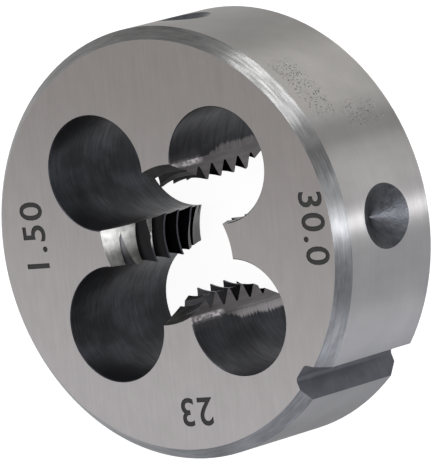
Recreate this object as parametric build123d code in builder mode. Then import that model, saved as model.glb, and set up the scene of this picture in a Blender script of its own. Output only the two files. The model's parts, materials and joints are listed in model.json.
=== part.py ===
"""Round threading die, M10 x 1.5, in a 30 x 11 mm body.

The die lies flat on its plain back.  The origin is the centre of that back
face, +Z is the axis and points out of the working face, and the four lands
stand on +X, +Y, -X and -Y, with the four chip holes between them.
"""

import os
from math import ceil, radians, tan

from build123d import *

# ---- Driving dimensions, in millimetres and degrees ----------------------

# body
body_diameter = 30.0
body_thickness = 11.0
rim_chamfer_radial = 0.8
rim_chamfer_axial = 0.95

# thread that the die cuts
thread_diameter = 10.0
thread_pitch = 1.5
thread_angle = 60.0
thread_height_share = 0.65     # how far the teeth stand in from the root, in pitches
root_flat_share = 1 / 8        # flat at the thread's major diameter, in pitches
thread_start = 1.44            # height of the groove where it crosses +X

# chip holes, drilled side by side round the bore
land_count = 4
chip_hole_diameter = 8.0
chip_hole_circle_diameter = 14.86
chip_hole_edge_break = 0.06

# ground rake faces on both flanks of each land
land_width = 2.4
land_width_at_bore = 2.56
rake_grind_reach = 5.45        # how far out from the axis the grinding runs

# lead (the tapered first threads) at both ends of the bore
lead_mouth_diameter = 11.06
lead_angle = 23.0              # between the taper and the die's axis
lead_relief = 1.03             # the taper's axis is moved this far off, towards the heel

# adjusting slot in the rim
slot_angle = -43.2
slot_depth = 1.5
slot_floor_width = 1.3
slot_wall_angle = 30.0
slot_floor_radius = 0.4

# seats for the set screws of the die stock
seat_angles = (1.4, 89.2, 180.0, 270.0)
seat_height = 5.7
seat_depths = (1.52, 1.2, 1.52, 1.2)
seat_point_angle = 118.0

# ---- Worked-out sizes ----------------------------------------------------

body_radius = body_diameter / 2
bore_radius = thread_diameter / 2 - thread_height_share * thread_pitch
root_radius = thread_diameter / 2
flank_slope = tan(radians(thread_angle / 2))
root_half_flat = thread_pitch * root_flat_share / 2

cut_margin = 0.5               # how far a cutter runs past what it cuts
groove_inner_radius = bore_radius - 0.15
groove_inner_half_width = root_half_flat + (root_radius - groove_inner_radius) * flank_slope

# Each tooth gap is a short piece of the thread's groove, laid across one land.
gap_span = 52.0                # degrees round the axis, wider than a land
gap_rise = thread_pitch * gap_span / 360
gaps_per_land = ceil(body_thickness / thread_pitch) + 2


# ---- Cutters -------------------------------------------------------------

# One tooth gap, starting on +X and climbing to the left as a right-hand
# thread does.  It is wider towards the axis.
with BuildPart() as tooth_gap:
    with BuildLine() as gap_path:
        Helix(pitch=thread_pitch, height=gap_rise, radius=root_radius)
    with BuildSketch(Plane.XZ) as gap_section:
        with BuildLine():
            Polyline(
                (root_radius, -root_half_flat),
                (root_radius, root_half_flat),
                (groove_inner_radius, groove_inner_half_width),
                (groove_inner_radius, -groove_inner_half_width),
                close=True,
            )
        make_face()
    sweep(path=gap_path.line, is_frenet=True)

# The lead's taper over the land on +Y.  Its axis stands off the die's axis,
# so the land falls away behind its cutting edge.
lead_mouth_radius = lead_mouth_diameter / 2
lead_overshoot_radius = lead_mouth_radius + cut_margin * tan(radians(lead_angle))
lead_cone_height = cut_margin + lead_mouth_radius / tan(radians(lead_angle))
lead_slice_width = land_width_at_bore + 2 * cut_margin

with BuildPart() as lead_taper:
    with Locations((lead_relief, 0, body_thickness + cut_margin)):
        Cone(
            bottom_radius=0,
            top_radius=lead_overshoot_radius,
            height=lead_cone_height,
            align=(Align.CENTER, Align.CENTER, Align.MAX),
        )
    with Locations((0, root_radius, body_thickness)):
        Box(lead_slice_width, root_radius, 2 * body_thickness, mode=Mode.INTERSECT)

# ---- The die -------------------------------------------------------------

with BuildPart() as threading_die:
    # Turned body with a bevel round both faces.
    with BuildSketch(Plane.XZ) as half_section:
        with BuildLine():
            Polyline(
                (0, 0),
                (body_radius - rim_chamfer_radial, 0),
                (body_radius, rim_chamfer_axial),
                (body_radius, body_thickness - rim_chamfer_axial),
                (body_radius - rim_chamfer_radial, body_thickness),
                (0, body_thickness),
                close=True,
            )
        make_face()
    revolve(axis=Axis.Z)

    # Chip holes between the lands, their sharp edges broken at both faces.
    first_hole = 180 / land_count
    with BuildSketch(Plane.XY) as chip_holes:
        with PolarLocations(chip_hole_circle_diameter / 2, land_count, first_hole):
            Circle(chip_hole_diameter / 2)
    extrude(amount=body_thickness, mode=Mode.SUBTRACT)
    hole_walls = threading_die.faces().filter_by(
        lambda face: face.geom_type == GeomType.CYLINDER and face.radius < body_radius / 2
    )
    chamfer(hole_walls.edges().filter_by(GeomType.CIRCLE), length=chip_hole_edge_break)

    # Bore at the thread's minor diameter, which opens into the chip holes.
    with BuildSketch(Plane.XY) as bore:
        Circle(bore_radius)
    extrude(amount=body_thickness, mode=Mode.SUBTRACT)

    # Ground rake faces: each pair of neighbouring lands faces one cut.
    with BuildSketch(Plane.XY) as rake_cuts:
        with PolarLocations(0, land_count):
            with BuildLine():
                Polyline(
                    (land_width_at_bore / 2, land_width_at_bore / 2),
                    (rake_grind_reach, land_width / 2),
                    (rake_grind_reach, rake_grind_reach),
                    (land_width / 2, rake_grind_reach),
                    close=True,
                )
            make_face()
    extrude(amount=body_thickness, mode=Mode.SUBTRACT)

    # Adjusting slot along the rim.
    slot_mouth = slot_floor_width / 2 + (slot_depth + cut_margin) * tan(radians(slot_wall_angle))
    slot_floor = body_radius - slot_depth
    with BuildSketch(Plane.XY.rotated((0, 0, slot_angle))) as slot:
        with BuildLine():
            Polyline(
                (slot_floor, -slot_floor_width / 2),
                (body_radius + cut_margin, -slot_mouth),
                (body_radius + cut_margin, slot_mouth),
                (slot_floor, slot_floor_width / 2),
                close=True,
            )
        make_face()
        fillet(slot.vertices().group_by(SortBy.DISTANCE)[0], slot_floor_radius)
    extrude(amount=body_thickness, mode=Mode.SUBTRACT)

    # Drilled seats for the set screws.
    seat_half_angle = radians(seat_point_angle / 2)
    for seat_angle, seat_depth in zip(seat_angles, seat_depths):
        seat_plane = Plane((0, 0, seat_height)).rotated((0, 0, seat_angle))
        with Locations(seat_plane):
            with Locations(Location((body_radius - seat_depth, 0, 0), (0, 90, 0))):
                Cone(
                    bottom_radius=0,
                    top_radius=(seat_depth + cut_margin) * tan(seat_half_angle),
                    height=seat_depth + cut_margin,
                    align=(Align.CENTER, Align.CENTER, Align.MIN),
                    mode=Mode.SUBTRACT,
                )

    # Leads at the front and, turned over, at the back.
    with PolarLocations(0, land_count):
        add(lead_taper.part, mode=Mode.SUBTRACT)
    lead_turned_over = lead_taper.part.rotate(Axis.X, 180).moved(Location((0, 0, body_thickness)))
    with PolarLocations(0, land_count):
        add(lead_turned_over, mode=Mode.SUBTRACT)

    # The thread: each land round the axis carries its gaps a little higher.
    gap_places = []
    for land in range(land_count):
        land_angle = 360 * land / land_count
        first_gap = thread_start + thread_pitch * land / land_count - thread_pitch
        for turn in range(gaps_per_land):
            gap_height = first_gap + turn * thread_pitch - gap_rise / 2
            gap_places.append(Location((0, 0, gap_height), (0, 0, land_angle - gap_span / 2)))
    with Locations(gap_places):
        add(tooth_gap.part, mode=Mode.SUBTRACT)

threading_die.part.label = "threading_die"

os.makedirs("parts", exist_ok=True)
export_step(threading_die.part, "parts/threading_die.step")
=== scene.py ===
"""Round threading die: the ground, turned and drilled finishes of its one steel body.

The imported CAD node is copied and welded, ground flat on the flanks between -Y
and +X, and marked with plain size numbers.  Its faces are then sorted by the
way they were machined, and each sort gets a finish of its own.  The die lies
on a pale floor.
"""

import json
import math

import bpy
from bpy.props import FloatProperty, FloatVectorProperty, PointerProperty
from mathutils import Matrix, Quaternion, Vector


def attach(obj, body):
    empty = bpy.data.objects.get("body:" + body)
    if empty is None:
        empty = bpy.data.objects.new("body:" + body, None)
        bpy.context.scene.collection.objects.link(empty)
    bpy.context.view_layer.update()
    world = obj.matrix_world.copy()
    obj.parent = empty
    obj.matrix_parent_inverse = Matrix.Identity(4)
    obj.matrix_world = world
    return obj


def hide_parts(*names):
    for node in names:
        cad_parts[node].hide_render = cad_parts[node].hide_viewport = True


bl_info = {
    "name": "Round threading die",
    "version": (1, 0, 0),
    "blender": (4, 5, 0),
    "location": "3D View > Sidebar > Threading die",
    "description": "Finishes a round threading die over its CAD body and sets up a pale studio",
    "category": "Add Mesh",
}

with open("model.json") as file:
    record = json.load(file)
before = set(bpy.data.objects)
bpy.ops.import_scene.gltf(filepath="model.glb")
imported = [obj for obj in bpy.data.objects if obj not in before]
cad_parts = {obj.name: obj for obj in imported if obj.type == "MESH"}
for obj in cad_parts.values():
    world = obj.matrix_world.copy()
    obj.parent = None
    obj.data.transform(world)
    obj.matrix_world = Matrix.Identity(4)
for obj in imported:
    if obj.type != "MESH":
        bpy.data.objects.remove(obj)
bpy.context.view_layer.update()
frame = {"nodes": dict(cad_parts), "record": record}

MM = 0.001
DIE_NODE = "threading_die"
BODY = "root"
BODY_PIECE = "die_body"

# ---- Sizes of the die, in metres and radians ------------------------------

mounts = {mount["name"]: mount for mount in frame["record"]["mounts"]}
openings = {hole["name"]: hole["box_m"] for hole in frame["record"]["physics"]["openings"]}

BODY_RADIUS = mounts["body"]["dims"]["r_mm"] * MM
FRONT = mounts["front"]["pos_m"][2]
SEAT_HEIGHT = mounts["screw_seats"]["pos_m"][2]
SLOT_DIRECTION = Vector(mounts["adjusting_slot"]["axis"])
CHIP_HOLES = [
    Vector(((low[0] + high[0]) / 2, (low[1] + high[1]) / 2, 0))
    for name, (low, high) in openings.items()
    if name.startswith("chip_hole")
]

BEVEL_RADIAL = 0.8 * MM
BEVEL_AXIAL = 0.95 * MM
CHIP_HOLE_RADIUS = 4.0 * MM
CREST_RADIUS = 4.025 * MM
LAND_REACH = 6.0 * MM          # the lands' own surfaces end inside this radius
HALF_LAND_AT_BORE = 1.28 * MM
HALF_LAND = 1.2 * MM
RAKE_REACH = 5.45 * MM         # how far out from the axis the flanks are ground
LEAD_RELIEF = 1.03 * MM        # how far the lead's taper is moved towards the heel
LEAD_ANGLE = math.radians(23)
SEAT_ANGLES = [math.radians(angle) for angle in (1.4, 89.2, 180.0, 270.0)]
SEAT_MOUTH_RADIUS = 2.54 * MM
SEAT_HALF_POINT = math.radians(59)
SLOT_REACH = 1.7 * MM          # the slot's surfaces end this far in from the rim

WELD = 0.001 * MM              # corners nearer than this are one
TOUCH = 0.02 * MM              # a place this near to a surface is on it


# ---- Settings that a user would change -------------------------------------


class DieNumberSettings(bpy.types.PropertyGroup):
    height: FloatProperty(
        name="Number height",
        description="Height of the marked digits",
        default=2.0 * MM,
        unit="LENGTH",
    )
    depth: FloatProperty(
        name="Mark depth",
        description="How deep the numbers are marked into the face",
        default=0.06 * MM,
        unit="LENGTH",
    )
    boldness: FloatProperty(
        name="Boldness",
        description="How far the strokes of the digits grow on each side",
        default=0.028 * MM,
        unit="LENGTH",
    )
    ink: FloatVectorProperty(
        name="Mark colour",
        description="Colour of the marked numbers",
        subtype="COLOR",
        default=(0.032, 0.030, 0.031),
    )


class DieFinishSettings(bpy.types.PropertyGroup):
    face: FloatVectorProperty(
        name="Ground face",
        description="Steel of the two ground faces",
        subtype="COLOR",
        default=(0.305, 0.287, 0.280),
    )
    rim: FloatVectorProperty(
        name="Ground rim",
        description="Steel of the rim",
        subtype="COLOR",
        default=(0.25, 0.243, 0.240),
    )
    bevel: FloatVectorProperty(
        name="Turned bevel",
        description="Hardened steel of the turned bevels",
        subtype="COLOR",
        default=(0.126, 0.127, 0.130),
    )
    wall: FloatVectorProperty(
        name="Drilled walls",
        description="Dark hardening scale in the chip holes",
        subtype="COLOR",
        default=(0.022, 0.023, 0.028),
    )
    thread: FloatVectorProperty(
        name="Cut thread",
        description="Black hardening scale in the thread",
        subtype="COLOR",
        default=(0.006, 0.006, 0.0065),
    )
    lead: FloatVectorProperty(
        name="Ground lead",
        description="Bright steel of the tapered first teeth",
        subtype="COLOR",
        default=(0.42, 0.42, 0.41),
    )
    rake: FloatVectorProperty(
        name="Ground rake",
        description="Steel of the ground cutting flanks",
        subtype="COLOR",
        default=(0.16, 0.15, 0.155),
    )
    slot: FloatVectorProperty(
        name="Milled slot",
        description="Steel of the adjusting slot",
        subtype="COLOR",
        default=(0.066, 0.068, 0.080),
    )
    seat: FloatVectorProperty(
        name="Drilled seats",
        description="Dark steel of the drilled seats for the set screws",
        subtype="COLOR",
        default=(0.036, 0.038, 0.043),
    )


class DieStudioSettings(bpy.types.PropertyGroup):
    floor_size: FloatProperty(
        name="Floor size",
        description="Length of each side of the floor",
        default=2.0,
        unit="LENGTH",
    )
    backdrop: FloatProperty(
        name="Backdrop",
        description="Brightness of floor and surroundings to the camera; 1 is white",
        default=1.0,
    )
    fill: FloatProperty(
        name="Fill light",
        description="Strength of the even light from all round",
        default=0.45,
    )


# ---- Small helpers ---------------------------------------------------------


def polar(radius, angle, height=0.0):
    """The point at this radius, angle and height round the die's axis."""
    return Vector((radius * math.cos(angle), radius * math.sin(angle), height))


def flat(vector):
    """The vector without its height."""
    return Vector((vector.x, vector.y, 0))


def select_only(piece):
    """Selects one piece and makes it active."""
    bpy.ops.object.select_all(action="DESELECT")
    piece.select_set(True)
    bpy.context.view_layer.objects.active = piece


def edit_all(piece):
    """Opens a piece in edit mode with its whole mesh selected."""
    select_only(piece)
    bpy.ops.object.mode_set(mode="EDIT")
    bpy.ops.mesh.select_all(action="SELECT")


# ---- Shader maths ----------------------------------------------------------

QUARTER_TURN = 0.25            # turns a highlight from round the axis to along it


class Wire:
    """A shader socket that takes part in Python expressions."""

    def __init__(self, finish, socket):
        self.finish = finish
        self.socket = socket

    def _with(self, operation, first, second):
        return self.finish.node(
            "ShaderNodeMath", {"operation": operation}, {0: first, 1: second}
        )

    def __add__(self, other):
        return self._with("ADD", self, other)

    def __sub__(self, other):
        return self._with("SUBTRACT", self, other)

    def __rsub__(self, other):
        return self._with("SUBTRACT", other, self)

    def __mul__(self, other):
        return self._with("MULTIPLY", self, other)

    def __abs__(self):
        return self._with("ABSOLUTE", self, 0.0)

    __radd__ = __add__
    __rmul__ = __mul__


class Finish:
    """A material, or the world's own nodes, under construction."""

    def __init__(self, name, tree=None):
        if tree is None:
            self.material = bpy.data.materials.new(name)
            self.material.use_nodes = True
            tree = self.material.node_tree
        self.tree = tree
        self.tree.nodes.clear()

    def node(self, kind, settings=None, inputs=None, output=0):
        """Adds a node; its settings come first, then its sockets' values or links."""
        made = self.tree.nodes.new(kind)
        for name, value in (settings or {}).items():
            setattr(made, name, value)
        for name, value in (inputs or {}).items():
            if isinstance(value, Wire):
                self.tree.links.new(value.socket, made.inputs[name])
            else:
                made.inputs[name].default_value = value
        return Wire(self, made.outputs[output]) if made.outputs else None

    def place(self):
        """The place on the piece, in millimetres."""
        metres = self.node("ShaderNodeTexCoord", output="Object")
        return self.node(
            "ShaderNodeVectorMath", {"operation": "SCALE"}, {0: metres, "Scale": 1 / MM}
        )

    def axes(self, place):
        """X, Y and Z of a vector."""
        parted = self.node("ShaderNodeSeparateXYZ", inputs={0: place}, output="X")
        outputs = parted.socket.node.outputs
        return [Wire(self, outputs[axis]) for axis in ("X", "Y", "Z")]

    def turned(self, place, degrees):
        """The place turned about the die's axis."""
        return self.node(
            "ShaderNodeVectorRotate",
            {"rotation_type": "Z_AXIS"},
            {"Vector": place, "Angle": math.radians(degrees)},
        )

    def stretch(self, place, x, y, z):
        """The place scaled along each axis; a small factor draws a pattern out."""
        return self.node(
            "ShaderNodeVectorMath", {"operation": "MULTIPLY"}, {0: place, 1: (x, y, z)}
        )

    def noise(self, place, detail=2.0, rough=0.5):
        """Noise between 0 and 1, about one feature to a unit of the place."""
        return self.node(
            "ShaderNodeTexNoise",
            {"noise_dimensions": "3D"},
            {"Vector": place, "Scale": 1.0, "Detail": detail, "Roughness": rough},
        )

    def between(self, value, low, high, to_low, to_high):
        """Maps low..high to to_low..to_high with soft ends."""
        return self.node(
            "ShaderNodeMapRange",
            {"interpolation_type": "SMOOTHSTEP"},
            {"Value": value, 1: low, 2: high, 3: to_low, 4: to_high},
        )

    def rising(self, value, low, high):
        """0 below low and 1 above high, with soft ends."""
        return self.between(value, low, high, 0.0, 1.0)

    def falling(self, value, low, high):
        """1 below low and 0 above high, with soft ends."""
        return self.between(value, low, high, 1.0, 0.0)

    def larger(self, first, second):
        """The larger of two values."""
        return self.node("ShaderNodeMath", {"operation": "MAXIMUM"}, {0: first, 1: second})

    def smaller(self, first, second):
        """The smaller of two values."""
        return self.node("ShaderNodeMath", {"operation": "MINIMUM"}, {0: first, 1: second})

    def angle(self, x, y):
        """Degrees round the axis, from -180 to 180."""
        turn = self.node("ShaderNodeMath", {"operation": "ARCTAN2"}, {0: y, 1: x})
        return turn * math.degrees(1)

    def blend(self, factor, first, second):
        """Mixes two colours."""
        return self.node(
            "ShaderNodeMix",
            {"data_type": "RGBA"},
            {0: factor, 6: opaque(first), 7: opaque(second)},
            output=2,
        )

    def lit(self, colour, factor):
        """A colour made lighter or darker."""
        return self.node(
            "ShaderNodeVectorMath", {"operation": "SCALE"}, {0: colour, "Scale": factor}
        )

    def bump(self, height, distance):
        """A surface normal from a height between 0 and 1 and its real depth."""
        return self.node(
            "ShaderNodeBump",
            inputs={"Height": height, "Distance": distance, "Strength": 1.0},
        )

    def metal(self, colour, roughness, normal=None, metallic=1.0, brush=0.0, edge=1.0):
        """Ends the material: brush draws highlights out, edge dims glancing reflections."""
        inputs = {
            "Base Color": colour,
            "Roughness": roughness,
            "Metallic": metallic,
            "Specular Tint": (edge, edge, edge, 1.0),
            "Anisotropic": brush,
            "Anisotropic Rotation": QUARTER_TURN if brush else 0.0,
        }
        if normal is not None:
            inputs["Normal"] = normal
        shader = self.node("ShaderNodeBsdfPrincipled", inputs=inputs)
        self.node("ShaderNodeOutputMaterial", inputs={"Surface": shader})
        return self.material


def opaque(colour):
    """A colour with its alpha, unless it is a wire."""
    return colour if isinstance(colour, Wire) else (*colour[:3], 1.0)


def shade(colour, factor):
    """A plain colour made lighter or darker."""
    return tuple(part * factor for part in colour[:3])


def tinted(colour, red, blue):
    """A plain colour made warmer or cooler."""
    return (colour[0] * red, colour[1], colour[2] * blue)


# ---- Finishes --------------------------------------------------------------

# Depths are in metres. Places and heights are in millimetres, and turns in degrees
# from +X.

SCRATCH_DEPTH = 0.003 * MM
TOOL_MARK_DEPTH = 0.006 * MM
REAMING_DEPTH = 0.01 * MM
PIT_DEPTH = 0.02 * MM
SEAT_MARK_DEPTH = 0.04 * MM

SCRATCH_LEAN = 3.0             # between the scratches of the faces and Y
CAST_REACH = 12.0              # distance from the axis at which the cast is full

# Bands of painted reflection and shade round the die: where a band starts, is full,
# starts to go and is gone, and how much lighter or darker it makes the steel.
RIM_PAINTED_BANDS = (
    ((-125, -85, -80, -50), -0.5),
    ((48, 60, 68, 76), -0.1),
    ((20, 25, 27, 32), -0.2),
    ((5, 11, 16, 21), 0.12),
)
BEVEL_PAINTED_BANDS = (
    ((-85, -70, -45, -36), 0.4),
    ((13, 18, 22, 26), -0.35),
    ((62, 80, 125, 140), -0.2),
)

# Pitted patches of the rim: four turns and four heights, in the same order.
UPPER_PITS = ((29, 33, 49, 53), (6.2, 7.2, 8.9, 9.6))
LOWER_PITS = ((25, 27, 32, 35), (2.0, 2.8, 5.6, 6.6))

# Distances along a land, from the axis.
# the run-out line below is a painted highlight
RUN_OUT = (5.0, 5.2, 5.4, 5.7)     # the line across a flank where the wheel left it
POLISHED = (5.2, 5.75)             # a flank is polished from here outwards
BARED = (5.85, 6.1)                # a chip-hole wall is bare up to here

# Heights over the back face.
THREAD_FRONT = (5.6, 6.4)          # the thread gets lighter
LEAD_FRONT = (5.0, 6.0)            # between the back leads and the front ones
FIRST_GROOVE = (8.9, 9.7)          # the -X land's first groove starts


def swing(noise, amount):
    """Noise as a change of tone, up to half the amount either way."""
    return (noise - 0.5) * amount


def hump(steel, value, limits):
    """1 between the two middle limits, falling softly to 0 at the outer two."""
    start, full, ebb, end = limits
    return steel.rising(value, start, full) * steel.falling(value, ebb, end)


def patch(steel, turn, z, limits):
    """1 inside a soft-edged patch of the rim."""
    turns, heights = limits
    return hump(steel, turn, turns) * hump(steel, z, heights)


def add_painted_bands(steel, light, turn, painted_light_bands):
    """The light, changed by bands of painted reflection and shade round the die."""
    for limits, change in painted_light_bands:
        light = light * (1 + hump(steel, turn, limits) * change)
    return light


def painted_light_tint(steel, y, colour):
    """A painted tint of the light: a colour a little warmer towards +Y and cooler towards -Y.
    """
    northward = steel.rising(y, -CAST_REACH, CAST_REACH)
    return steel.blend(northward, tinted(colour, 0.97, 1.08), tinted(colour, 1.01, 0.97))


def ground_face(colours):
    """Surface ground along Y: fine, leaning scratches and soft patches.

    Painted shade and a painted tint of the light make the steel warmer and darker towards +Y,
    cooler and lighter towards -Y.
    """
    steel = Finish("ground_face")
    place = steel.place()
    x, y = steel.axes(place)[:2]
    leaning = steel.turned(place, SCRATCH_LEAN)
    fine = steel.noise(steel.stretch(leaning, 5.0, 0.22, 1), detail=3, rough=0.65)
    broad = steel.noise(steel.stretch(leaning, 0.8, 0.08, 1), detail=2)
    soft = steel.noise(steel.stretch(place, 0.9, 0.5, 1), detail=4, rough=0.7)
    # painted shade: the share of the darker, warmer colour grows from -Y to +Y
    away = steel.rising(y + x * 0.25, -14.0, 14.0)
    shaded_warm = tinted(shade(colours.face, 0.79), 1.01, 0.99)
    lit_cool = tinted(shade(colours.face, 1.30), 0.99, 1.04)
    tone = steel.blend(away, lit_cool, shaded_warm)
    light = 1 + swing(fine, 0.20) + swing(broad, 0.08) + swing(soft, 0.22)
    dull = steel.between(soft, 0.3, 0.7, 0.42, 0.48)
    return steel.metal(steel.lit(tone, light), dull, steel.bump(fine, SCRATCH_DEPTH))


def ground_rim(colours):
    """Cylindrical grinding: fine lines round the rim, soft bands and small pits, under painted
    reflection, shade and tint of the light.
    """
    steel = Finish("ground_rim")
    place = steel.place()
    x, y, z = steel.axes(place)
    turn = steel.angle(x, y)
    fine = steel.noise(steel.stretch(place, 0.10, 0.10, 7.0), detail=3, rough=0.65)
    cloud = steel.noise(steel.stretch(place, 0.35, 0.35, 0.25), detail=3, rough=0.55)
    light = 1 + swing(fine, 0.20) + swing(cloud, 0.35)
    # painted reflection and shade in bands round the rim
    light = add_painted_bands(steel, light, turn, RIM_PAINTED_BANDS)
    speck = steel.noise(steel.stretch(place, 7.0, 7.0, 7.0), detail=2, rough=0.6)
    upper = patch(steel, turn, z, UPPER_PITS)
    lower = patch(steel, turn, z, LOWER_PITS)
    pits = steel.rising(speck, 0.57, 0.63) * steel.larger(upper, lower)
    # painted tint of the light, warmer towards +Y
    bare = steel.lit(painted_light_tint(steel, y, colours.rim), light)
    tone = steel.blend(pits * 0.75, bare, shade(colours.rim, 0.2))
    dull = steel.between(fine, 0.3, 0.7, 0.29, 0.33)
    return steel.metal(tone, dull, steel.bump(pits, -PIT_DEPTH), brush=1.0, edge=0.7)


def turned_bevel(colours):
    """Turning marks round the bevel, under dark hardening scale, painted reflection, shade and
    tint of the light.
    """
    steel = Finish("turned_bevel")
    place = steel.place()
    x, y = steel.axes(place)[:2]
    streak = steel.noise(steel.stretch(place, 0.35, 0.35, 13.0), detail=3, rough=0.6)
    smudge = steel.noise(steel.stretch(place, 0.9, 0.9, 3.0), detail=2)
    light = 1 + swing(streak, 1.1) + swing(smudge, 0.7)
    # painted reflection and shade in bands round the bevel, and a painted tint of the light
    light = add_painted_bands(steel, light, steel.angle(x, y), BEVEL_PAINTED_BANDS)
    tone = steel.lit(painted_light_tint(steel, y, colours.bevel), steel.larger(light, 0.25))
    dull = steel.between(streak, 0.35, 0.65, 0.38, 0.30)
    return steel.metal(tone, dull, steel.bump(streak, TOOL_MARK_DEPTH), brush=0.7)


def ground_flank(steel, colours, x, y, z, mark):
    """Ground steel beside a land, with a bright, broken line where the wheel ran out.

    This painted highlight line shows near the front. Lower down on the -Y side the flank is
    polished.
    """
    along_land = steel.larger(abs(x), abs(y))
    speck = steel.noise(steel.stretch(steel.place(), 4.0, 4.0, 3.0), detail=2)
    # painted highlight: a bright, broken line along the run-out near the front
    line = hump(steel, along_land, RUN_OUT) * steel.rising(z, 7.0, 7.9)
    southward = steel.falling(y, -1.0, 1.0)
    low_down = steel.falling(z, 5.0, 7.0)
    polished = southward * steel.rising(along_land, *POLISHED) * low_down
    plain = steel.lit(colours.rake, 0.35 + mark * 0.7 + polished)
    broken = 0.5 + steel.rising(speck, 0.35, 0.65) * 0.8
    bright = steel.lit(shade(colours.rake, 3.6), broken)
    return steel.blend(line, plain, bright)


def drilled_wall(colours):
    """Chip-hole walls: black scale and reaming marks, ground bare beside the lands."""
    steel = Finish("drilled_wall")
    place = steel.place()
    x, y, z = steel.axes(place)
    mark = steel.noise(steel.stretch(place, 0.5, 0.5, 4.5), detail=3, rough=0.7)
    cloud = steel.noise(steel.stretch(place, 0.5, 0.5, 0.35), detail=3)
    thin = steel.rising(cloud, 0.35, 0.7)
    scale = steel.blend(thin, shade(colours.wall, 0.6), shade(colours.wall, 1.6))
    scale = steel.lit(scale, 1 + swing(mark, 1.3))
    along_land = steel.larger(abs(x), abs(y))
    narrowing = steel.between(z, 5.0, 7.6, 0.0, 0.6)
    reach = along_land + narrowing - swing(mark, 0.7) - swing(cloud, 0.6)
    bared = steel.falling(reach, *BARED)
    lighter_patch = steel.between(along_land, 5.5, 6.3, 0.35, 0.0) * steel.rising(z, 7.0, 8.0)
    ground = ground_flank(steel, colours, x, y, z, mark)
    tone = steel.blend(steel.larger(bared, lighter_patch), scale, ground)
    dull = steel.between(mark, 0.3, 0.7, 0.46, 0.34)
    return steel.metal(tone, dull, steel.bump(mark, REAMING_DEPTH), metallic=0.92)


def cut_thread(colours):
    """Thread under black scale, lighter towards the front and on the -Y land.

    The first groove of the -X land carries a painted highlight, lighter towards +Y.
    """
    steel = Finish("cut_thread")
    place = steel.place()
    x, y, z = steel.axes(place)
    mark = steel.noise(steel.stretch(place, 1.0, 1.0, 5.0), detail=2)
    light = steel.between(z, *THREAD_FRONT, 0.25, 2.6)
    first_groove = steel.falling(x, -4.0, -3.6) * steel.rising(z, *FIRST_GROOVE)
    # painted highlight on the -X land's first groove, lighter towards +Y
    light = light + first_groove * steel.between(y, -1.0, 0.6, 2.0, 45.0)
    light = light + steel.between(y, -3.5, -2.5, 6.0, 0.0)
    tone = steel.lit(colours.thread, light * (0.6 + mark * 0.8))
    return steel.metal(tone, 0.32, metallic=steel.between(z, *THREAD_FRONT, 1.0, 0.9))


def thread_crest(colours):
    """Tooth crests: black scale, lighter in patches near the front on the +Y side."""
    steel = Finish("thread_crest")
    place = steel.place()
    y, z = steel.axes(place)[1:]
    mark = steel.noise(steel.stretch(place, 2.0, 2.0, 4.0), detail=2)
    lighter_patch = steel.rising(z, 6.7, 7.0) * steel.rising(y, -0.9, 0.3)
    lighter_patch = lighter_patch * steel.rising(mark, 0.3, 0.55)
    tone = steel.blend(lighter_patch, shade(colours.wall, 1.6), shade(colours.lead, 1.6))
    return steel.metal(steel.lit(tone, 0.6 + mark * 0.8), 0.35, metallic=0.95)


def ground_lead(colours):
    """Tapered first teeth, ground bright in front and left dull behind.

    They are duller on the +Y and -Y lands. On the other two a painted highlight makes them
    lighter towards +Y and darker towards -Y.
    """
    steel = Finish("ground_lead")
    place = steel.place()
    x, y, z = steel.axes(place)
    mark = steel.noise(steel.stretch(place, 0.5, 0.5, 5.0), detail=3, rough=0.65)
    blotch = steel.noise(steel.stretch(place, 1.6, 1.6, 1.2), detail=2)
    light = 1 + swing(mark, 0.8) + swing(blotch, 1.6)
    on_y_land = steel.rising(abs(y) - abs(x), -1.0, 1.0)
    bright = steel.between(z, *LEAD_FRONT, 0.16, 1.0)
    bright = bright * (1 - on_y_land * 0.75)
    # painted highlight: on the X lands the lead is lighter towards +Y
    bright = bright * steel.larger(steel.between(y, -0.8, 0.8, 0.22, 1.0), on_y_land)
    dull = steel.between(mark, 0.3, 0.7, 0.50, 0.42)
    tone = steel.lit(colours.lead, light * bright)
    return steel.metal(tone, dull, steel.bump(mark, TOOL_MARK_DEPTH))


def ground_rake(colours):
    """Flank ground flat, along the axis."""
    steel = Finish("ground_rake")
    place = steel.place()
    x, y, z = steel.axes(place)
    mark = steel.noise(steel.stretch(place, 3.5, 3.5, 0.4), detail=3, rough=0.65)
    tone = ground_flank(steel, colours, x, y, z, mark)
    return steel.metal(tone, 0.36, steel.bump(mark, TOOL_MARK_DEPTH))


def milled_slot(colours):
    """Adjusting slot: matt slate steel with faint marks across it."""
    steel = Finish("milled_slot")
    place = steel.place()
    mark = steel.noise(steel.stretch(place, 0.8, 0.8, 3.5), detail=3, rough=0.65)
    blotch = steel.noise(steel.stretch(place, 1.2, 1.2, 0.9), detail=3)
    tone = steel.lit(colours.slot, 1 + swing(mark, 0.5) + swing(blotch, 0.6))
    return steel.metal(tone, 0.5, steel.bump(mark, TOOL_MARK_DEPTH), metallic=0.9)


def drilled_seat(colours):
    """Screw seats: dark steel, roughened and mottled by the drill and the screws."""
    steel = Finish("drilled_seat")
    mark = steel.noise(steel.stretch(steel.place(), 2.2, 2.2, 2.2), detail=3, rough=0.7)
    dull = steel.between(mark, 0.3, 0.7, 0.32, 0.48)
    tone = steel.lit(colours.seat, 1 + swing(mark, 1.6))
    return steel.metal(tone, dull, steel.bump(mark, SEAT_MARK_DEPTH), metallic=0.95)


def dark_mark(colour):
    """Burnt marking of the numbers."""
    mark = Finish("dark_mark")
    soot = mark.noise(mark.stretch(mark.place(), 4.0, 4.0, 4.0), detail=2)
    return mark.metal(mark.lit(colour, 0.7 + soot * 0.6), 0.6, metallic=0.3)


# ---- Sorting faces by the way they were machined ---------------------------

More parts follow.
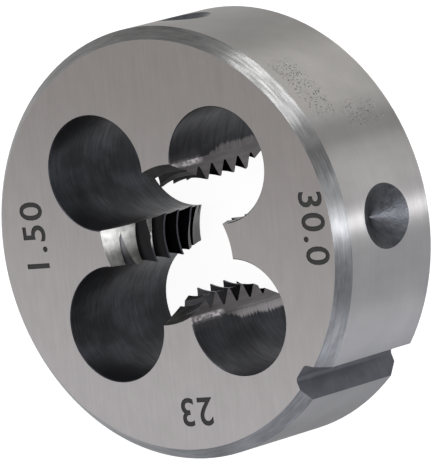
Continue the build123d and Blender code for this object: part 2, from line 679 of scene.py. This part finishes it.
# How squarely a face looks along a surface's normal to be part of it, as a cosine.
LEVEL = 0.9999
BEVEL_SQUARE = 0.995
SQUARE = 0.99
WALL_SQUARE = 0.98
SEAT_SQUARE = 0.97
SLOT_SIDE = 0.98               # how near to the slot's direction the slot's faces lie

RIM_REACH = BODY_RADIUS - BEVEL_RADIAL - 2 * MM    # seats and slot lie outside it
CURVE_TOUCH = 1.5 * TOUCH      # flat faces stand this far off the curve they follow
EDGE_TOUCH = 5 * TOUCH         # the broken edges stand this far off the wall
FLANK_TOUCH = TOUCH / 4


def slant(radial, axial):
    """A direction leaning from the radius towards +Z, as (radial part, z part)."""
    length = math.hypot(radial, axial)
    return radial / length, axial / length


BEVEL_OUT, BEVEL_UP = slant(BEVEL_AXIAL, BEVEL_RADIAL)


def nearest_hole(point):
    """Axis of the chip hole nearest to a point."""
    return min(CHIP_HOLES, key=lambda hole: (flat(point) - hole).length)


def nearest_land(point):
    """Which land the point is on, counted in quarter turns from +X."""
    return round(math.atan2(point.y, point.x) / (math.pi / 2))


def nearest_seat(point):
    """Direction of the seat on this side of the die."""
    axes = [polar(1, angle) for angle in SEAT_ANGLES]
    return max(axes, key=lambda axis: axis.dot(flat(point)))


def from_seat_axis(point):
    """The way to a point from the axis of the nearest seat."""
    axis = nearest_seat(point)
    spoke = point - Vector((0, 0, SEAT_HEIGHT))
    return spoke - axis * spoke.dot(axis)


# The functions named after a surface and normal give the surface's true normal
# at a point of it. Facing is the normal of the flat face that the point is on.


def level_normal(point, facing):
    return Vector((0, 0, math.copysign(1, facing.z)))


def rim_normal(point, facing):
    return flat(point).normalized()


def bevel_normal(point, facing):
    out = flat(point).normalized() * BEVEL_OUT
    out.z = math.copysign(BEVEL_UP, facing.z)
    return out


def wall_normal(point, facing):
    return (nearest_hole(point) - flat(point)).normalized()


def edge_break_normal(point, facing):
    return (wall_normal(point, facing) + level_normal(point, facing)).normalized()


def crest_normal(point, facing):
    return -flat(point).normalized()


def seat_normal(point, facing):
    spoke = from_seat_axis(point)
    if spoke.length < TOUCH:
        return facing
    sideways = spoke.normalized() * math.cos(SEAT_HALF_POINT)
    return nearest_seat(point) * math.sin(SEAT_HALF_POINT) - sideways


def lead_normal(point, facing):
    """The taper's axis is moved off along the land, towards its heel."""
    side = math.copysign(1, facing.z)
    along = polar(1, (nearest_land(point) - 1) * math.pi / 2)
    spoke = flat(point) - along * LEAD_RELIEF * side
    normal = -spoke.normalized() * math.cos(LEAD_ANGLE)
    normal.z = side * math.sin(LEAD_ANGLE)
    return normal


def on_face(centre, facing):
    """Ground front and back, and the floors of the numbers."""
    if abs(facing.z) <= LEVEL:
        return None
    at_face = min(abs(centre.z), abs(centre.z - FRONT)) < TOUCH
    return ("ground_face", level_normal) if at_face else ("dark_mark", None)


def on_outside(centre, facing):
    """Rim, bevels, screw seats and adjusting slot."""
    radius = flat(centre).length
    if radius <= RIM_REACH:
        return None
    radial = flat(centre).normalized()
    from_end = min(centre.z, FRONT - centre.z)
    if facing.dot(bevel_normal(centre, facing)) > BEVEL_SQUARE and from_end < BEVEL_AXIAL:
        return "turned_bevel", bevel_normal
    if facing.dot(radial) > SQUARE and radius > BODY_RADIUS - TOUCH:
        return "ground_rim", rim_normal
    in_mouth = from_seat_axis(centre).length < SEAT_MOUTH_RADIUS
    if in_mouth and facing.dot(seat_normal(centre, facing)) > SEAT_SQUARE:
        return "drilled_seat", seat_normal
    if radius > BODY_RADIUS - SLOT_REACH and radial.dot(SLOT_DIRECTION) > SLOT_SIDE:
        return "milled_slot", None
    return None


def on_rake(centre, facing):
    """Ground flanks, between which the land narrows from the bore outwards."""
    out = polar(1, nearest_land(centre) * math.pi / 2)
    across = Vector((-out.y, out.x, 0))
    reach = centre.dot(out)
    narrowing = (HALF_LAND_AT_BORE - HALF_LAND) / (RAKE_REACH - HALF_LAND_AT_BORE)
    half_land = HALF_LAND_AT_BORE - narrowing * (reach - HALF_LAND_AT_BORE)
    off_flank = abs(abs(centre.dot(across)) - half_land)
    if off_flank < FLANK_TOUCH and abs(facing.dot(across)) > SQUARE:
        return "ground_rake", None
    return None


def on_wall(centre, facing):
    """Walls of the chip holes and their broken edges."""
    from_hole = (flat(centre) - nearest_hole(centre)).length
    at_wall = abs(from_hole - CHIP_HOLE_RADIUS) < CURVE_TOUCH
    if at_wall and facing.dot(wall_normal(centre, facing)) > WALL_SQUARE:
        return "drilled_wall", wall_normal
    near_wall = from_hole < CHIP_HOLE_RADIUS + EDGE_TOUCH
    if near_wall and facing.dot(edge_break_normal(centre, facing)) > WALL_SQUARE:
        return "drilled_wall", edge_break_normal
    return None


def on_land(centre, facing):
    """Leads, crests and flanks of the teeth, and what is left of a land's sides."""
    radius = flat(centre).length
    if radius >= LAND_REACH:
        return None
    if facing.dot(lead_normal(centre, facing)) > SQUARE:
        return "ground_lead", lead_normal
    at_crest = radius < CREST_RADIUS + CURVE_TOUCH
    if at_crest and facing.dot(crest_normal(centre, facing)) > SQUARE:
        return "thread_crest", crest_normal
    if radius < RAKE_REACH - TOUCH:
        return "cut_thread", None
    return "ground_rake", None


def machined_by(centre, facing):
    """The name of the finish on a face, and its true normal as a function or None."""
    for found in (on_face, on_outside, on_rake, on_wall, on_land):
        finish = found(centre, facing)
        if finish:
            return finish
    return "dark_mark", None       # the sides of the numbers


# ---- Operators -------------------------------------------------------------


class DIE_OT_body(bpy.types.Operator):
    """Lay the die's own mesh over its CAD node"""

    bl_idname = "die.body"
    bl_label = "Die body"

    def execute(self, context):
        solid = frame["nodes"][DIE_NODE]
        body = bpy.data.objects.new(BODY_PIECE, solid.data.copy())
        context.collection.objects.link(body)
        edit_all(body)
        bpy.ops.mesh.remove_doubles(threshold=WELD)
        bpy.ops.object.mode_set(mode="OBJECT")
        bpy.ops.mesh.customdata_custom_splitnormals_clear()
        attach(body, BODY)
        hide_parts(DIE_NODE)
        return {"FINISHED"}


def cut_away(body, cutter):
    """Takes the cutter's volume off the body, and removes the cutter."""
    select_only(body)
    cut = body.modifiers.new("cut", "BOOLEAN")
    cut.operation = "DIFFERENCE"
    cut.solver = "EXACT"
    cut.object = cutter
    bpy.ops.object.modifier_apply(modifier=cut.name)
    bpy.data.objects.remove(cutter)


class DIE_OT_flanks(bpy.types.Operator):
    """Grind the land flanks between -Y and +X flat, as they are between +X and +Y"""

    bl_idname = "die.flanks"
    bl_label = "Land flanks"

    def execute(self, context):
        cut_away(bpy.data.objects[BODY_PIECE], self.cutter())
        return {"FINISHED"}

    def cutter(self):
        """A prism through the die, with one side on the flank of each land beside it.

        It is shaped between +X and +Y and turned to its own quarter.
        """
        # where a corner of the cube goes, by whether it is on the +X and +Y sides
        corners = {
            (False, False): (HALF_LAND_AT_BORE, HALF_LAND_AT_BORE),
            (True, False): (RAKE_REACH, HALF_LAND),
            (True, True): (RAKE_REACH, RAKE_REACH),
            (False, True): (HALF_LAND, RAKE_REACH),
        }
        bpy.ops.mesh.primitive_cube_add(size=2)
        prism = bpy.context.object
        for vertex in prism.data.vertices:
            x, y = corners[vertex.co.x > 0, vertex.co.y > 0]
            z = FRONT + MM if vertex.co.z > 0 else -MM
            vertex.co = (x, y, z)
        prism.data.transform(Matrix.Rotation(-math.pi / 2, 4, "Z"))
        prism.data.update()
        return prism


class DIE_OT_numbers(bpy.types.Operator):
    """Mark the diameter, the pitch and the lead angle into the front face"""

    bl_idname = "die.numbers"
    bl_label = "Size numbers"

    # text, middle of the number in mm, and its turn in degrees
    numbers = (
        ("30.0", (12.75, 0.5), -90),
        ("1.50", (-11.35, 1.25), 90),
        ("23", (0.6, -11.6), 180),
    )
    spacing = 1.12
    curve_steps = 4

    def execute(self, context):
        settings = context.scene.die_numbers
        body = bpy.data.objects[BODY_PIECE]
        for text, middle, turn in self.numbers:
            cutter = self.cutter(text, middle, turn, settings)
            cut_away(body, cutter)
        return {"FINISHED"}

    def cutter(self, text, middle, turn, settings):
        """A closed solid of the digits, from over the face down to the mark's floor."""
        bpy.ops.object.select_all(action="DESELECT")
        bpy.ops.object.text_add(radius=settings.height)
        letters = bpy.context.object
        letters.data.body = text
        letters.data.align_x = "CENTER"
        letters.data.align_y = "CENTER"
        letters.data.resolution_u = self.curve_steps
        letters.data.offset = settings.boldness
        letters.data.extrude = settings.depth
        letters.data.space_character = self.spacing
        bpy.ops.object.convert(target="MESH")
        letters = bpy.context.object
        edit_all(letters)
        bpy.ops.mesh.remove_doubles(threshold=WELD)
        bpy.ops.object.mode_set(mode="OBJECT")
        low = Vector(letters.bound_box[0])
        high = Vector(letters.bound_box[6])
        size = settings.height / (high - low).y
        place = Matrix.Translation((middle[0] * MM, middle[1] * MM, FRONT))
        turned = Matrix.Rotation(math.radians(turn), 4, "Z")
        sized = Matrix.Diagonal((size, size, settings.depth * 2 / (high - low).z, 1))
        centred = Matrix.Translation(-(low + high) / 2)
        letters.data.transform(place @ turned @ sized @ centred)
        letters.data.update()
        return letters


class DIE_OT_finishes(bpy.types.Operator):
    """Sort the body's faces by the way they were machined and give each its finish"""

    bl_idname = "die.finishes"
    bl_label = "Finishes"

    def execute(self, context):
        mesh = bpy.data.objects[BODY_PIECE].data
        colours = context.scene.die_finish
        finishes = {made.__name__: made(colours) for made in FINISHES}
        finishes["dark_mark"] = dark_mark(context.scene.die_numbers.ink)
        mesh.materials.clear()
        for material in finishes.values():
            mesh.materials.append(material)
        order = list(finishes)
        normals = []
        for face in mesh.polygons:
            face.use_smooth = True
            name, true_normal = machined_by(face.center, face.normal)
            face.material_index = order.index(name)
            for corner in face.vertices:
                point = mesh.vertices[corner].co
                if true_normal is None:
                    normals.append(face.normal.copy())
                else:
                    normals.append(true_normal(point, face.normal))
        mesh.normals_split_custom_set(normals)
        return {"FINISHED"}


WHITE = (1, 1, 1, 1)
FLOOR_GREY = (0.35, 0.35, 0.35, 1)
FLOOR_GLOW = 0.93              # what the floor needs, with the lamps' light, to show white

# Sensor and lens in millimetres, distances in metres.
CAMERA_SENSOR = 36
CAMERA_LENS = 698.3
CAMERA_SHIFT = (0.00137, 0.00248)
CAMERA_CLIP = (0.01, 10)
CAMERA_DISTANCE = 0.618373
CAMERA_AIM = Vector((0.0516, -0.1097, 5.474)) * MM
CAMERA_SIDE = (9.465, 51.725)  # azimuth and elevation in degrees
CAMERA_ROLL = math.radians(-105.665)


def direction(azimuth, elevation):
    """Unit vector from the die; azimuth is counted from +X, both in degrees."""
    level = math.cos(math.radians(elevation))
    return polar(level, math.radians(azimuth), math.sin(math.radians(elevation)))


class DIE_OT_studio(bpy.types.Operator):
    """Set up the floor, the lamps and the camera"""

    bl_idname = "die.studio"
    bl_label = "Studio"

    # name, azimuth and elevation from the die in degrees, distance, width and
    # height in m, and watts
    lamps = (
        ("key_lamp", -2.5, 9, 0.25, 0.018, 0.12, 0.46),
        ("side_lamp", 66, 21, 0.25, 0.17, 0.05, 0.37),
        ("low_lamp", -51, 6, 0.25, 0.1, 0.06, 0.15),
        ("fill_lamp", 18, 12, 0.25, 0.09, 0.06, 0.09),
    )

    def execute(self, context):
        studio = context.scene.die_studio
        self.floor(studio)
        self.surroundings(context, studio)
        for lamp in self.lamps:
            self.lamp(context, *lamp)
        self.camera(context)
        context.scene.view_settings.view_transform = "Standard"
        return {"FINISHED"}

    def floor(self, studio):
        """A large plane under the die that shows as the backdrop and takes its shadow."""
        bpy.ops.object.select_all(action="DESELECT")
        bpy.ops.mesh.primitive_plane_add(size=studio.floor_size)
        floor = bpy.context.object
        floor.name = "floor"
        paint = Finish("pale_floor")
        matt = paint.node("ShaderNodeBsdfDiffuse", inputs={"Color": FLOOR_GREY})
        strength = self.seen_rays(paint) * FLOOR_GLOW * studio.backdrop
        glow = paint.node("ShaderNodeEmission", inputs={"Color": WHITE, "Strength": strength})
        both = paint.node("ShaderNodeAddShader", inputs={0: matt, 1: glow})
        paint.node("ShaderNodeOutputMaterial", inputs={"Surface": both})
        floor.data.materials.append(paint.material)

    def seen_rays(self, paint):
        """1 for rays from the camera and for those that metal and glass pass on."""
        rays = [
            paint.node("ShaderNodeLightPath", output=name)
            for name in ("Is Camera Ray", "Is Glossy Ray", "Is Transmission Ray")
        ]
        return paint.smaller(rays[0] + rays[1] + rays[2], 1.0)

    def surroundings(self, context, studio):
        """Even light from all round, in front of the backdrop that the camera sees."""
        world = bpy.data.worlds.new("studio")
        world.use_nodes = True
        paint = Finish("surroundings", world.node_tree)
        strength = studio.fill + self.seen_rays(paint) * (studio.backdrop - studio.fill)
        glow = paint.node("ShaderNodeBackground", inputs={"Color": WHITE, "Strength": strength})
        paint.node("ShaderNodeOutputWorld", inputs={"Surface": glow})
        context.scene.world = world

    def lamp(self, context, name, azimuth, elevation, distance, width, height, watts):
        """A rectangular lamp that looks at the die and that the camera doesn't see."""
        data = bpy.data.lights.new(name, "AREA")
        data.shape = "RECTANGLE"
        data.size = width
        data.size_y = height
        data.energy = watts
        lamp = bpy.data.objects.new(name, data)
        context.collection.objects.link(lamp)
        away = direction(azimuth, elevation)
        lamp.location = away * distance
        lamp.rotation_euler = away.to_track_quat("Z", "Y").to_euler()
        lamp.visible_camera = False

    def camera(self, context):
        """A long lens above the +X side, rolled so that +X points right."""
        data = bpy.data.cameras.new("camera")
        data.sensor_width = CAMERA_SENSOR
        data.lens = CAMERA_LENS
        data.shift_x, data.shift_y = CAMERA_SHIFT
        data.clip_start, data.clip_end = CAMERA_CLIP
        camera = bpy.data.objects.new("camera", data)
        context.collection.objects.link(camera)
        away = direction(*CAMERA_SIDE)
        roll = Quaternion((0, 0, 1), CAMERA_ROLL)
        camera.location = CAMERA_AIM + away * CAMERA_DISTANCE
        camera.rotation_mode = "QUATERNION"
        camera.rotation_quaternion = away.to_track_quat("Z", "Y") @ roll
        context.scene.camera = camera


class DIE_PT_panel(bpy.types.Panel):
    """Steps that finish the die"""

    bl_label = "Threading die"
    bl_space_type = "VIEW_3D"
    bl_region_type = "UI"
    bl_category = "Threading die"

    def draw(self, context):
        for operator in OPERATORS:
            self.layout.operator(operator.bl_idname)
        for group in SETTINGS:
            box = self.layout.box()
            for name in SETTINGS[group].__annotations__:
                box.prop(getattr(context.scene, group), name)


FINISHES = (
    ground_face,
    ground_rim,
    turned_bevel,
    drilled_wall,
    cut_thread,
    thread_crest,
    ground_lead,
    ground_rake,
    milled_slot,
    drilled_seat,
)
OPERATORS = (DIE_OT_body, DIE_OT_flanks, DIE_OT_numbers, DIE_OT_finishes, DIE_OT_studio)
SETTINGS = {
    "die_numbers": DieNumberSettings,
    "die_finish": DieFinishSettings,
    "die_studio": DieStudioSettings,
}


def register():
    for group, settings in SETTINGS.items():
        bpy.utils.register_class(settings)
        setattr(bpy.types.Scene, group, PointerProperty(type=settings))
    for made in (*OPERATORS, DIE_PT_panel):
        bpy.utils.register_class(made)


def unregister():
    for made in (DIE_PT_panel, *OPERATORS):
        bpy.utils.unregister_class(made)
    for group, settings in SETTINGS.items():
        delattr(bpy.types.Scene, group)
        bpy.utils.unregister_class(settings)


def main():
    register()
    bpy.ops.die.body()
    bpy.ops.die.flanks()
    bpy.ops.die.numbers()
    bpy.ops.die.finishes()
    bpy.ops.die.studio()


if __name__ == "__main__":
    main()
